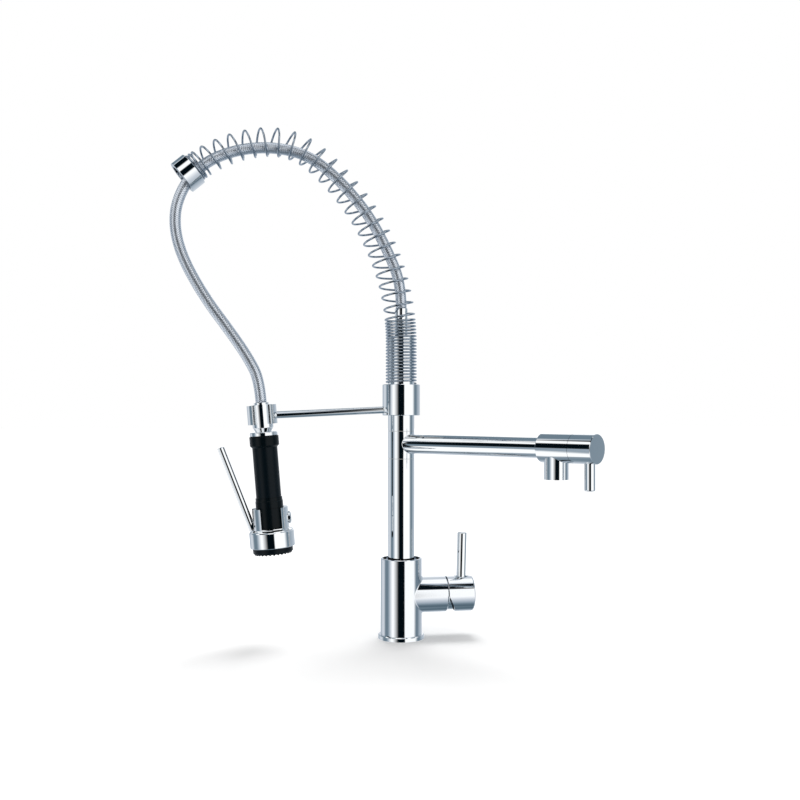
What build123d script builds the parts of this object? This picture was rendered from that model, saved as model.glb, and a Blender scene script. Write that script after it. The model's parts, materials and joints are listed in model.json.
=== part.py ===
from build123d import *
from math import cos, pi, radians, sin, sqrt, tan
import os

# Kitchen mixer with a swivelling spout and a spray handset on a spring arch.
# Millimetres. Origin: centre of the base on the deck. +Z up, +X to the mixer lever,
# -X to the spray arm. The spout leaves at spout_yaw from +X.

os.makedirs("parts", exist_ok=True)

# Clearances
seat_gap = 0.05
running_gap = 0.06
swing_gap = 0.5
turn_gap = 0.3
clear_gap = 0.3
seal_gap = 0.02

# Base
flange_lip = 2.5
flange_height = 4.5
flange_bore = 18.0
flange_chamfer = 0.8
seal_section = 1.8
seal_inset = 3.5
body_radius = 22.0
body_height = 80.5
body_rim_wall = 2.2
body_recess = 8.0
body_chamfer = 0.5
inlet_thread_radius = 4.5
inlet_thread_depth = 12.0
inlet_bore = 3.5
inlet_x = 4.0
inlet_spread = 8.0
inlet_way = 3.0
stud_thread_radius = 3.4
stud_thread_depth = 16.0
stud_x = -12.0

# Side valve: its axis is level and points along +X
valve_height = 45.5
branch_radius = 19.0
branch_end = 48.5
branch_chamfer = 1.2
branch_blend = 1.6
cartridge_radius = 14.0
cartridge_seat = 17.0
cartridge_length = 22.0
cartridge_floor = 3.0
cartridge_wall = 1.5
cartridge_lip = 1.2
disc_height = 4.0
sliding_disc_radius = 10.5
sliding_disc_height = 3.5
mixed_port_drop = 8.0
mixed_port_radius = 3.0
inlet_port_rise = 2.0
inlet_port_spread = 7.0
inlet_port_radius = 2.4
recess_depth = 1.5
recess_inner = 3.6
recess_outer = 8.8
recess_edge = 0.6
nut_radius = 15.5
nut_height = 7.0
nut_bore = 9.0
nut_notches = 4
nut_notch = 3.0
pivot_x = 33.0
stem_radius = 3.5
stem_ball = 2.5
stem_throat = 1.8
stem_reach = 5.6
stem_grip = 9.0
stem_slot_up = 4.2
stem_slot_down = 8.2
stem_slot_foot = 5.4
stem_side_gap = 0.2
pivot_pin_radius = 1.25
pivot_pin_end = 0.5
stem_eye = 2.25
collar_lip_radius = 17.1
collar_lip_wall = 1.3
collar_disc = 1.2
collar_flange = 0.75
collar_lip_inset = 0.2
collar_lip_start = 3.0
collar_neck_wall = 1.6

# Mixer knob and lever
knob_end = 77.5
knob_round = 2.0
knob_cavity_radius = 17.6
knob_cavity_end = 61.0
rim_slant = 25.6
lever_x = 65.0
lever_radius = 5.0
lever_length = 46.5
lever_lean = 1.5
lever_round = 1.2
lever_stud = 3.0
lever_stud_depth = 9.0
lever_scoop = 8.5
lever_scoop_depth = 3.6
grub_radius = 2.0
grub_sunk = 1.5
socket_radius = 1.1
socket_depth = 2.5

# Column, sleeve and the brass core that they turn on
column_radius = 14.0
column_wall = 1.7
column_chamfer = 0.5
column_socket = 15.0
lower_column_shown = 106.0
sleeve_length = 29.8
washer_height = 0.4
washer_inset = 0.3
sleeve_wall = 1.5
core_groove_radius = 10.3
core_groove = 9.0
core_way = 4.0
core_bore = 6.0
core_tail = 10.0
o_ring_section = 1.8
o_ring_spread = 10.5
upper_column_shown = 16.4
mandrel_length = 51.0

# Spout and its shut-off valve, along the spout's own axis
spout_yaw = -51.0
spout_radius = 10.0
spout_wall = 1.6
spout_blend = 0.8
spout_height = 16.0
spout_reach = 178.5
spout_insert = 4.5
outlet_body_radius = 14.0
outlet_body_length = 35.2
outlet_body_edge = 0.8
outlet_bore = 7.0
headwork_radius = 10.5
headwork_depth = 29.7
headwork_chamber = 8.0
headwork_shoulder = 1.5
window_side = 7.0
spindle_radius = 4.0
valve_disc_radius = 8.5
valve_disc_height = 3.0
valve_port_offset = 4.0
valve_port_radius = 2.6
valve_knob_length = 24.3
valve_knob_wall = 2.2
valve_knob_depth = 14.0
valve_knob_edge = 0.4
valve_knob_recess = 4.0
outlet_offset = 15.5
outlet_radius = 11.5
outlet_drop = 29.6
aerator_wall = 1.4
aerator_height = 8.0
aerator_recess = 0.6
aerator_ring = 1.2
sieve_inset = 1.5
sieve_recess = 0.6
sieve_hole = 0.8
sieve_pitch = 2.9
pin_radius = 5.0
pin_offset = 16.3
pin_drop = 38.8
pin_seat = 5.0
pin_round = 1.2
screw_from_end = 3.0

# Spray arm
collar_radius = 20.0
collar_height = 33.0
collar_bore = 16.2
collar_roof = 3.0
collar_edge = 0.5
collar_grub_sunk = 0.8
groove_depth = 0.8
groove_width = 3.2
grub_tip_radius = 1.3
grub_tip_reach = 0.65
bar_radius = 3.7
bar_rise = 5.8
bar_droop = 2.6
bar_seat = 2.6
bar_stop = 1.6
arm_reach = 147.3
clip_radius = 15.3
clip_above = 10.9
clip_below = 9.0
clip_opening = 17.4
clip_opening_angle = -95.0
clip_round = 0.6
clip_tilt = 4.6

# Spring: a tight coil about the column top, then an open arch of three tangent arcs
wire = 2.2
coil_radius = 15.6
coil_tip_radius = 14.1
narrow_from = 150.0
narrow_to = 270.0
coil_lean = 2.4
lean_rise = 30.0
lean_fall = 70.0
lean_end = 360.0
coil_seat_gap = 0.1
tight_turns = 20
tight_pitch = 3.35
arch_straight = 43.5
arch_arcs = ((248.0, 50.5), (73.5, 46.6), (139.5, 33.6))
open_pitches = (12.9, 12.4, 13.4, 15.1, 14.9, 15.0, 14.7, 13.9)
pitch_ramp = 8.0
closed_turns = 3
closed_pitch = 3.2
cap_radius = 17.6
cap_length = 15.7
cap_pocket = 3.6
cap_bore = 13.6
cap_edge = 0.4
cap_gap = 0.25

# Hose, and its route in the arm's plane as (x, height above the hose's foot)
hose_radius = 5.75
hose_bore = 3.6
ferrule_radius = 6.75
ferrule_flange = 9.5
ferrule_flange_height = 4.0
ferrule_shown = 30.0
crimps = 3
crimp_pitch = 3.5
crimp_width = 1.0
crimp_depth = 0.4
hose_nut_height = 10.0
hose_seat_height = 6.0
held_route = (
    (0.0, 26.0), (-14.5, 61.5), (-36.0, 101.0), (-68.0, 137.0), (-100.0, 160.5), (-138.0, 167.0),
    (-175.0, 162.0), (-207.0, 147.5),
)
free_route = (
    (-228.5, 122.0), (-238.0, 91.0), (-231.5, 54.0), (-208.0, 10.5), (-179.0, -28.5),
    (-161.4, -54.5),
)
last_run = 24.0
arc_share = 0.45

# Handset, heights along its own axis from the middle of the clip
swivel_radius = 10.7
swivel_above = 11.2
swivel_below = 12.6
swivel_floor = 2.0
end_collar_radius = 7.8
end_collar_height = 2.2
end_spigot_radius = 6.2
end_spigot_depth = 7.0
neck_stem_radius = 6.8
neck_stem_height = 11.0
neck_spigot = 6.0
neck_cone_high = 10.4
neck_cone_low = 8.1
neck_height = 4.4
neck_flange_radius = 14.4
neck_flange_height = 4.1
handset_bore = 4.0
cap_ring_radius = 15.2
cap_ring_height = 11.8
cap_ring_chamfer = 2.0
core_radius = 9.0
core_wall = 2.5
grip_radius = 13.05
grip_length = 52.6
lower_ring_radius = 14.3
lower_ring_height = 10.7
lower_ring_step = 0.4
lower_ring_band = 3.0
grip_edge = 0.5
head_radius = 18.8
head_height = 22.0
window_width = 21.5
window_sill = 0.8
slot_floor = 8.8
slot_sunk = 0.6
block_radius = 15.0
block_sunk = 1.0
block_spigot = 8.0
water_radius = 8.0
shoulder_height = 2.2
bell_radius = 23.3
bell_height = 16.6
bell_wall = 1.8
bell_roof = 3.0
bell_edge = 0.8
face_radius = 20.8
face_depth = 6.5
face_edge = 1.2
plate_height = 2.0
plate_recess = 0.2
plate_way = 0.8
nub_radius = 1.1
nub_tip = 0.8
nub_height = 0.9
nub_rings = ((18.6, 28), (13.8, 20), (9.0, 12), (4.2, 6))

# Trigger and the valve that it pushes, in the handset's frame
trigger_x = -16.2
trigger_height = 4.9
trigger_hub = 4.4
trigger_width = 7.4
trigger_slot = 8.4
trigger_lean = 16.5
trigger_offset = 4.1
trigger_radius = 3.7
trigger_length = 92.0
trigger_below = 3.2
trigger_round = 0.8
trigger_pin_radius = 1.5
trigger_pin_half = 8.4
nose_width = 5.0
valve_rise = 5.2
plunger_radius = 2.5
plunger_gap = 0.1
plunger_flange = 4.0
plunger_flange_height = 2.0
plunger_end = 6.0
return_wire = 0.8
return_turns = 5
return_pitch = 1.4
return_radius = 3.2
valve_way_offset = 5.0
valve_way_radius = 2.4
valve_cap_radius = 6.4
valve_cap_shank = 5.3
valve_cap_height = 2.5
valve_cap_sunk = 1.0
valve_cap_edge = 1.2

# Radii and heights that follow
flange_radius = body_radius + flange_lip
seal_radius = flange_radius - seal_inset
body_top = flange_height + body_height
column_foot = body_top - body_recess - column_socket
sleeve_foot = body_top + lower_column_shown
sleeve_top = sleeve_foot + sleeve_length
collar_foot = sleeve_top + upper_column_shown
collar_top = collar_foot + collar_height
column_top = collar_top + mandrel_length
hose_foot = column_top + ferrule_shown
spout_z = sleeve_foot + spout_height
collar_middle = collar_foot + collar_height / 2
tube_bore = column_radius - column_wall
sleeve_bore = column_radius - sleeve_wall


def disc(radius, low, high):
    """Solid cylinder about Z between two heights."""
    return Pos(0, 0, low) * Cylinder(radius, high - low, align=(Align.CENTER, Align.CENTER, Align.MIN))


def ring(outer, inner, low, high):
    """Ring about Z between two heights."""
    return disc(outer, low, high) - disc(inner, low, high)


def turned(*corners):
    """Solid of revolution about Z from its (radius, height) corners."""
    return revolve(Plane.XZ * make_face(Polyline(*corners, close=True)), Axis.Z)


def cross_pin(radius, low, high):
    """Cylinder along X between two places."""
    return Rot(0, 90, 0) * disc(radius, low, high)


def save(shape, name):
    """Writes one piece to its own file."""
    shape.label = name
    export_step(shape, f"parts/{name}.step")


# ---------------------------------------------------------------- base

def make_base():
    flange = ring(flange_radius, flange_bore, 0, flange_height)
    top_edge = flange.edges().filter_by(GeomType.CIRCLE).group_by(Axis.Z)[-1].sort_by(SortBy.RADIUS)[-1]
    flange = chamfer(top_edge, flange_chamfer)
    groove = seal_section / 2 + seal_gap
    flange -= ring(seal_radius + groove, seal_radius - groove, 0, seal_section)
    save(flange, "base_flange")
    seal = ring(seal_radius + seal_section / 2, seal_radius - seal_section / 2, 0, seal_section - seal_gap)
    save(seal, "deck_seal")

    body = disc(body_radius, flange_height, body_top)
    body = chamfer(body.edges().group_by(Axis.Z)[-1], body_chamfer)
    branch = Pos(0, 0, valve_height) * cross_pin(branch_radius, 0, branch_end)
    joined = body + branch
    body = fillet(new_edges(body, branch, combined=joined), branch_blend)
    body = chamfer(body.edges().group_by(Axis.X)[-1], branch_chamfer)
    body += disc(flange_bore - seat_gap, 0, flange_height)
    body -= disc(body_radius - body_rim_wall, body_top - body_recess, body_top)
    body -= disc(column_radius + seat_gap, column_foot, body_top)

    bore = Pos(0, 0, valve_height)
    body -= bore * cross_pin(cartridge_radius + seat_gap, cartridge_seat, branch_end)
    body -= bore * cross_pin(nut_radius + seat_gap, cartridge_end, branch_end)
    mixed_height = valve_height - mixed_port_drop
    body -= Pos(0, 0, mixed_height) * cross_pin(mixed_port_radius, 0, cartridge_seat)
    body -= disc(core_bore, mixed_height, column_foot)
    inlet_top = valve_height + inlet_port_rise
    for side in (-1, 1):
        inlet = Pos(inlet_x, side * inlet_spread, 0)
        body -= inlet * disc(inlet_thread_radius, 0, inlet_thread_depth)
        body -= inlet * disc(inlet_bore, 0, inlet_top)
        body -= Pos(0, side * inlet_spread, inlet_top) * cross_pin(inlet_way, inlet_x, cartridge_seat)
    body -= Pos(stud_x, 0, 0) * disc(stud_thread_radius, 0, stud_thread_depth)
    save(body, "base_body")


# ---------------------------------------------------------------- side valve
# Modelled upright: its axis is Z, the valve's up is +X, then laid along +X.

valve_place = Location(Plane(origin=(0, 0, valve_height), x_dir=(0, 0, 1), z_dir=(1, 0, 0)))
across = Rot(90, 0, 0)
disc_seat = cartridge_seat + cartridge_floor
slide_seat = disc_seat + disc_height + seal_gap
slide_top = slide_seat + sliding_disc_height
carrier_foot = slide_top + seat_gap
cartridge_end = cartridge_seat + cartridge_length
nut_end = cartridge_end + nut_height
cavity = cartridge_radius - cartridge_wall
neck = nut_bore - 2 * running_gap
collar_start = nut_end + seat_gap
collar_end = collar_start + collar_disc
stem_end = knob_cavity_end + stem_grip


def ports():
    """The cold, hot and mixed water ways through the cartridge floor and its fixed disc."""
    ways = Pos(-mixed_port_drop, 0, 0) * disc(mixed_port_radius, cartridge_seat, slide_seat)
    for side in (-1, 1):
        inlet = Pos(inlet_port_rise, side * inlet_port_spread, 0)
        ways += inlet * disc(inlet_port_radius, cartridge_seat, slide_seat)
    return ways


def half_space(edge, low, high):
    """Block that fills everything below the edge, between two heights."""
    size = 4 * branch_radius
    return Pos(edge - size / 2, 0, (low + high) / 2) * Box(size, size, high - low)


def make_cartridge():
    mouth = cavity - cartridge_lip
    housing = disc(cartridge_radius, cartridge_seat, cartridge_end)
    housing -= disc(cavity, disc_seat, cartridge_end - cartridge_lip)
    housing -= disc(mouth, disc_seat, cartridge_end)
    housing -= ports()
    save(valve_place * housing, "cartridge_housing")
    fixed = disc(cavity - seat_gap, disc_seat, disc_seat + disc_height) - ports()
    save(valve_place * fixed, "fixed_ceramic_disc")

    # The sliding disc has a recess that joins the ports once it has risen, and a socket for the stem.
    sliding = disc(sliding_disc_radius, slide_seat, slide_top)
    recess = ring(recess_outer, recess_inner, slide_seat, slide_seat + recess_depth)
    sliding -= recess & half_space(-recess_edge, slide_seat, slide_seat + recess_depth)
    socket_floor = pivot_x - stem_reach - stem_ball - 2 * running_gap
    sliding -= disc(stem_ball + running_gap, socket_floor, slide_top)
    save(valve_place * sliding, "sliding_ceramic_disc")

    # The carrier turns in the housing, its neck passes the nut, and its slot guides the stem.
    carrier = disc(cavity - running_gap, carrier_foot, cartridge_end - cartridge_lip - running_gap)
    carrier += disc(neck, carrier_foot, collar_end)
    slot_width = 2 * (stem_radius + stem_side_gap)
    slot_foot = pivot_x + stem_radius
    slot = half_space(stem_slot_up, slot_foot, collar_end)
    slot -= half_space(-stem_slot_down, slot_foot, collar_end)
    throat = half_space(stem_slot_foot, carrier_foot, slot_foot)
    throat -= half_space(-stem_slot_foot, carrier_foot, slot_foot)
    ways = slot + throat
    carrier -= ways & Pos(0, 0, (carrier_foot + collar_end) / 2) * Box(
        2 * branch_radius, slot_width, collar_end - carrier_foot)
    carrier -= Pos(0, 0, pivot_x) * across * disc(pivot_pin_radius + seal_gap, -neck, neck)
    save(valve_place * carrier, "cartridge_carrier")
    pin_half = neck - pivot_pin_end
    pin = across * disc(pivot_pin_radius, -pin_half, pin_half)
    save(valve_place * Pos(0, 0, pivot_x) * pin, "stem_pivot_pin")

    nut = ring(nut_radius, nut_bore, cartridge_end, nut_end)
    for turn in range(nut_notches):
        angle = 360 * (turn + 0.5) / nut_notches
        nut -= Rot(0, 0, angle) * Pos(nut_radius, 0, nut_end) * Box(nut_notch, nut_notch, nut_notch)
    save(valve_place * nut, "cartridge_nut")

    # The collar in front of the nut: its lip closes the gap under the slanted rim of the knob.
    collar_radius_in = nut_radius - 2 * running_gap
    flange_start = branch_end + swing_gap / 2
    flange_end = flange_start + collar_flange
    collar = ring(collar_radius_in, neck + seat_gap, collar_start, collar_end)
    collar += ring(collar_radius_in, collar_radius_in - collar_neck_wall, collar_start, flange_end)
    collar += ring(collar_lip_radius, collar_radius_in - collar_neck_wall, flange_start, flange_end)
    lip_end = branch_end + swing_gap + collar_lip_radius * tan(radians(rim_slant))
    lip = ring(collar_lip_radius, collar_lip_radius - collar_lip_wall, flange_start, lip_end)
    collar += lip - rim_side(collar_lip_inset, collar_lip_start)
    save(valve_place * collar, "temperature_collar")

    # The stem hangs on the pin, and its ball moves the sliding disc.
    ball_height = pivot_x - stem_reach
    stem = disc(stem_radius, pivot_x - stem_eye, stem_end)
    stem += disc(stem_throat, ball_height, pivot_x)
    stem += Pos(0, 0, ball_height) * Sphere(stem_ball)
    stem -= Pos(0, 0, pivot_x) * across * disc(pivot_pin_radius + running_gap, -stem_radius, stem_radius)
    save(valve_place * stem, "cartridge_stem")


def rim_side(inset, start):
    """The space in front of the knob's rim: level above start, and slanted below it."""
    front = branch_end + swing_gap - inset
    far = 2 * branch_radius
    deep = front + 2 * far
    slanted = front + (far - start) * tan(radians(rim_slant))
    face = make_face(Polyline((far, front), (-start, front), (-far, slanted), (-far, deep), (far, deep),
                              close=True))
    return extrude(Plane.XZ * face, far, both=True)


def make_knob():
    knob = disc(branch_radius, branch_end, knob_end)
    knob = fillet(knob.edges().group_by(Axis.Z)[-1], knob_round)
    knob -= disc(knob_cavity_radius, branch_end, knob_cavity_end)
    knob &= rim_side(0, 0)
    knob -= disc(stem_radius + seat_gap, knob_cavity_end, stem_end + seat_gap)
    lever_way = Pos(0, 0, lever_x) * Rot(0, 90 - lever_lean, 0)
    scoop_floor = branch_radius - lever_scoop_depth
    scoop = Cone(lever_radius + seat_gap, lever_scoop, lever_scoop_depth,
                 align=(Align.CENTER, Align.CENTER, Align.MIN))
    knob -= lever_way * Pos(0, 0, scoop_floor) * scoop
    stud_foot = scoop_floor - lever_stud_depth
    knob -= lever_way * disc(lever_stud + seat_gap, stud_foot - seat_gap, branch_radius)
    grub_way = Pos(0, 0, lever_x) * Rot(0, -90, 0)
    knob -= grub_way * disc(grub_radius + seat_gap, stem_radius, branch_radius)
    save(valve_place * knob, "mixer_knob")
    grub_top = branch_radius - grub_sunk
    save(valve_place * grub_way * grub_screw(stem_radius + seat_gap, grub_top), "knob_grub_screw")
    lever = disc(lever_radius, scoop_floor + seat_gap, branch_radius + lever_length)
    lever = fillet(lever.edges().group_by(Axis.Z)[-1], lever_round)
    lever += disc(lever_stud, stud_foot, branch_radius)
    save(valve_place * lever_way * lever, "mixer_lever")


def grub_screw(low, high):
    """Headless screw about Z with a hexagonal socket in its top."""
    screw = disc(grub_radius, low, high)
    screw -= Pos(0, 0, high - socket_depth) * extrude(RegularPolygon(socket_radius, 6), socket_depth)
    return screw


# ---------------------------------------------------------------- column

def make_column():
    save(ring(column_radius, tube_bore, column_foot, sleeve_foot), "lower_column")
    washer_radius = column_radius - washer_inset
    washers = [ring(washer_radius, sleeve_bore, foot, foot + washer_height)
               for foot in (sleeve_foot, sleeve_top - washer_height)]
    save(Compound(washers), "slip_washers")

    # Core: the sleeve turns on it, and water leaves through its ring groove.
    core_radius_out = sleeve_bore - running_gap
    core_low = sleeve_foot - core_tail
    core_high = sleeve_top + core_tail
    core = disc(core_radius_out, sleeve_foot, sleeve_top)
    core += disc(tube_bore - seat_gap, core_low, core_high)
    core -= disc(core_bore, core_low, core_high)
    core -= ring(column_radius, core_groove_radius, spout_z - core_groove / 2, spout_z + core_groove / 2)
    core -= Pos(0, 0, spout_z) * cross_pin(core_way, -column_radius, column_radius)
    o_rings = []
    for side in (-1, 1):
        foot = spout_z + side * o_ring_spread - o_ring_section / 2
        top = foot + o_ring_section
        core -= ring(column_radius, core_radius_out - o_ring_section, foot, top)
        o_rings.append(ring(core_radius_out, core_radius_out - o_ring_section,
                            foot + seal_gap, top - seal_gap))
    save(core, "swivel_core")
    save(Compound(o_rings), "swivel_o_rings")

    upper = ring(column_radius, tube_bore, sleeve_top, column_top)
    upper -= ring(collar_radius, column_radius - groove_depth, collar_middle - groove_width / 2,
                  collar_middle + groove_width / 2)
    rim = upper.edges().group_by(Axis.Z)[-1].sort_by(SortBy.RADIUS)[-1]
    save(chamfer(rim, column_chamfer), "upper_column")

    # The hose's ferrule turns between a nut and a seat, both screwed into the column's top.
    nut_foot = column_top - hose_nut_height
    flange_high = nut_foot - seal_gap
    flange_low = flange_high - ferrule_flange_height
    seat_high = flange_low - seal_gap
    save(ring(tube_bore - seat_gap, ferrule_radius + running_gap, nut_foot, column_top), "hose_nut")
    save(ring(tube_bore - seat_gap, hose_bore, seat_high - hose_seat_height, seat_high), "hose_seat")
    ferrule = ring(ferrule_radius, hose_bore, flange_low, hose_foot)
    ferrule += ring(ferrule_flange, hose_bore, flange_low, flange_high)
    for crimp in range(crimps):
        top = hose_foot - crimp_pitch * (crimp + 1)
        ferrule -= ring(ferrule_flange, ferrule_radius - crimp_depth, top - crimp_width, top)
    save(ferrule, "hose_lower_ferrule")


# ---------------------------------------------------------------- spout
# Along its own axis: Z runs out along the spout, +X is up.

yaw = radians(spout_yaw)
spout_place = Location(Plane(origin=(0, 0, spout_z), x_dir=(0, 0, 1), z_dir=(cos(yaw), sin(yaw), 0)))
outlet_end = spout_reach + outlet_body_length
headwork_foot = outlet_end - headwork_depth
knob_foot = outlet_end + turn_gap
spindle_end = knob_foot + valve_knob_depth
knob_tip = outlet_end + valve_knob_length


def make_spout():
    low = sleeve_foot + washer_height + seal_gap
    high = sleeve_top - washer_height - seal_gap
    tube_end = spout_reach + spout_insert
    sleeve = disc(column_radius, low, high)
    tube = spout_place * disc(spout_radius, 0, tube_end)
    joined = sleeve + tube
    arm = fillet(new_edges(sleeve, tube, combined=joined), spout_blend)
    arm -= spout_place * disc(spout_radius - spout_wall, 0, tube_end)
    arm -= disc(sleeve_bore, low, high)
    save(arm, "spout_arm")

    body = disc(outlet_body_radius, spout_reach, outlet_end)
    body = chamfer(body.edges().group_by(Axis.Z)[0], outlet_body_edge)
    down = Pos(0, 0, spout_reach + outlet_offset) * Rot(0, -90, 0)
    body += down * disc(outlet_radius, 0, outlet_drop)
    body -= disc(spout_radius + seat_gap, spout_reach, tube_end + seat_gap)
    body -= disc(outlet_bore, spout_reach, outlet_end)
    body -= disc(headwork_radius + seat_gap, headwork_foot, outlet_end)
    body -= down * disc(outlet_bore, 0, outlet_drop)
    aerator_seat = outlet_drop - aerator_height - aerator_recess
    aerator_end = outlet_drop - aerator_recess
    thread = outlet_radius - aerator_wall
    body -= down * disc(thread, aerator_seat, outlet_drop)
    save(spout_place * body, "outlet_valve_body")

    sieve_radius = thread - seat_gap - aerator_ring
    housing = ring(thread - seat_gap, sieve_radius, aerator_seat + seal_gap, aerator_end)
    save(spout_place * down * housing, "aerator_housing")
    sieve = disc(sieve_radius - seat_gap, aerator_seat + sieve_inset, aerator_end - sieve_recess)
    sieve -= Compound([disc(sieve_hole, aerator_seat, outlet_drop)]
                      + [Rot(0, 0, 360 * i / (6 * circle)) * Pos(sieve_pitch * circle, 0, 0)
                         * disc(sieve_hole, aerator_seat, outlet_drop)
                         for circle in (1, 2) for i in range(6 * circle)])
    save(spout_place * down * sieve, "aerator_insert")


def make_headwork():
    # Headwork: a turning disc on a fixed one, each with an off-centre port, and a side window.
    fixed_top = headwork_foot + valve_disc_height
    turn_foot = fixed_top + seal_gap
    turn_top = turn_foot + valve_disc_height
    chamber_top = turn_top + headwork_chamber
    body = disc(headwork_radius, headwork_foot, outlet_end)
    body -= disc(valve_disc_radius + seat_gap, headwork_foot, turn_top + seat_gap)
    body -= disc(valve_disc_radius - headwork_shoulder, headwork_foot, chamber_top)
    body -= disc(spindle_radius + running_gap, headwork_foot, outlet_end)
    window_middle = (turn_top + seat_gap + chamber_top) / 2
    body -= Pos(-headwork_radius, 0, window_middle) * Box(headwork_radius, window_side, window_side)
    save(spout_place * body, "headwork_body")
    port = Pos(valve_port_offset, 0, 0) * disc(valve_port_radius, headwork_foot, turn_top)
    save(spout_place * (disc(valve_disc_radius, headwork_foot, fixed_top) - port), "fixed_valve_disc")
    turning = disc(valve_disc_radius - running_gap, turn_foot, turn_top) - port
    save(spout_place * turning, "turning_valve_disc")
    save(spout_place * disc(spindle_radius, turn_top, spindle_end), "headwork_spindle")


def make_spout_knob():
    knob = disc(outlet_body_radius, knob_foot, knob_tip)
    knob = chamfer(knob.edges().group_by(Axis.Z)[-1], valve_knob_edge)
    knob -= disc(outlet_body_radius - valve_knob_wall, knob_foot, knob_foot + valve_knob_recess)
    knob -= disc(spindle_radius + seat_gap, knob_foot, spindle_end + seat_gap)
    down = Pos(0, 0, outlet_end + pin_offset) * Rot(0, -90, 0)
    knob -= down * disc(pin_radius + seat_gap, pin_seat, outlet_body_radius)
    up = Pos(0, 0, spindle_end - screw_from_end) * Rot(0, 90, 0)
    knob -= up * disc(grub_radius + seat_gap, spindle_radius, outlet_body_radius)
    save(spout_place * knob, "valve_knob")
    screw = grub_screw(spindle_radius + seat_gap, outlet_body_radius - grub_sunk)
    save(spout_place * up * screw, "valve_knob_screw")
    pin = disc(pin_radius, pin_seat + seat_gap, pin_drop)
    pin = fillet(pin.edges().group_by(Axis.Z)[-1], pin_round)
    save(spout_place * down * pin, "valve_pin")


# ---------------------------------------------------------------- spray arm

droop = radians(bar_droop)
bar_height = collar_foot + bar_rise
clip_z = bar_height - (arm_reach - collar_radius) * tan(droop)
clip_bore = swivel_radius + clear_gap
bar_end = (arm_reach - collar_radius) / cos(droop) - clip_bore - bar_stop
tilt = radians(clip_tilt)
handset_place = Location(Plane(origin=(-arm_reach, 0, clip_z), x_dir=(cos(tilt), 0, sin(tilt)),
                               z_dir=(-sin(tilt), 0, cos(tilt))))


def make_arm():
    collar = disc(collar_radius, collar_foot, collar_top)
    collar = chamfer(collar.edges().group_by(Axis.Z)[0] + collar.edges().group_by(Axis.Z)[-1], collar_edge)
    collar -= disc(collar_bore, collar_foot, collar_top - collar_roof)
    collar -= disc(column_radius + clear_gap, collar_foot, collar_top)
    bar_way = Pos(-collar_radius, 0, bar_height) * Rot(0, -90 - bar_droop, 0)
    collar -= bar_way * disc(bar_radius + seat_gap, -bar_seat, bar_radius)
    back = Pos(0, 0, collar_middle) * Rot(-90, 0, 0)
    screw_way = back * disc(grub_radius + seat_gap, column_radius, collar_radius)
    save(collar - screw_way, "upper_collar")
    bush = ring(collar_bore - seat_gap, column_radius + running_gap, collar_foot,
                collar_top - collar_roof - seat_gap)
    save(bush - screw_way, "collar_bush")
    screw = grub_screw(column_radius + clear_gap, collar_radius - collar_grub_sunk)
    screw += disc(grub_tip_radius, column_radius - grub_tip_reach, column_radius + clear_gap)
    save(back * screw, "collar_grub_screw")
    save(bar_way * disc(bar_radius, seat_gap - bar_seat, bar_end), "support_bar")

    clip = ring(clip_radius, clip_bore, -clip_below, clip_above)
    slot = Pos(clip_radius, 0, 0) * Box(2 * clip_radius, clip_opening, clip_below + clip_above + clip_radius)
    clip -= Rot(0, 0, clip_opening_angle) * slot
    lips = clip.edges().filter_by(Axis.Z)
    clip = handset_place * fillet(lips, clip_round)
    clip -= bar_way * disc(bar_radius + seat_gap, 0, bar_end + seat_gap)
    save(clip, "holder_clip")


# ---------------------------------------------------------------- spring

coil_foot = collar_top + wire / 2 + coil_seat_gap
arch_length = arch_straight + sum(radius * radians(sweep_angle) for radius, sweep_angle in arch_arcs)


def arch_at(distance):
    """Place (x, z) and heading of the spring's centre line, at a distance from its foot."""
    x, z, heading = 0.0, coil_foot + min(distance, arch_straight), pi / 2
    left = distance - arch_straight
    for radius, sweep_angle in arch_arcs:
        if left <= 0:
            return x, z, heading
        step = min(left, radius * radians(sweep_angle))
        x -= radius * sin(heading)
        z += radius * cos(heading)
        heading += step / radius
        x += radius * sin(heading)
        z -= radius * cos(heading)
        left -= step
    return x + left * cos(heading), z + left * sin(heading), heading


def arch_pitch(distance):
    """Pitch of the turns: tight on the column, open over the arch, closed at the cap."""
    open_start = tight_pitch * tight_turns
    open_end = arch_length - closed_pitch * closed_turns
    if distance <= open_start:
        return tight_pitch
    if distance >= open_end:
        return closed_pitch
    spans = len(open_pitches) - 1
    span = (distance - open_start - pitch_ramp) / (open_end - open_start - 2 * pitch_ramp) * spans
    if span < 0:
        return tight_pitch + (open_pitches[0] - tight_pitch) * (distance - open_start) / pitch_ramp
    if span > spans:
        return closed_pitch + (open_pitches[-1] - closed_pitch) * (open_end - distance) / pitch_ramp
    index = min(int(span), spans - 1)
    return open_pitches[index] + (open_pitches[index + 1] - open_pitches[index]) * (span - index)


def arch_radius(distance):
    """Radius of the turns: the stretched end of the arch is narrower than its foot."""
    share = min(max((distance - narrow_from) / (narrow_to - narrow_from), 0), 1)
    return coil_radius + (coil_tip_radius - coil_radius) * share


def arch_lean(distance):
    """How far the outer side of a turn hangs back along the arch, and its inner side leans on."""
    rise = (distance - tight_pitch * tight_turns) / lean_rise
    fall = (lean_end - distance) / lean_fall
    return coil_lean * max(0, min(1, rise, fall))


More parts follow.
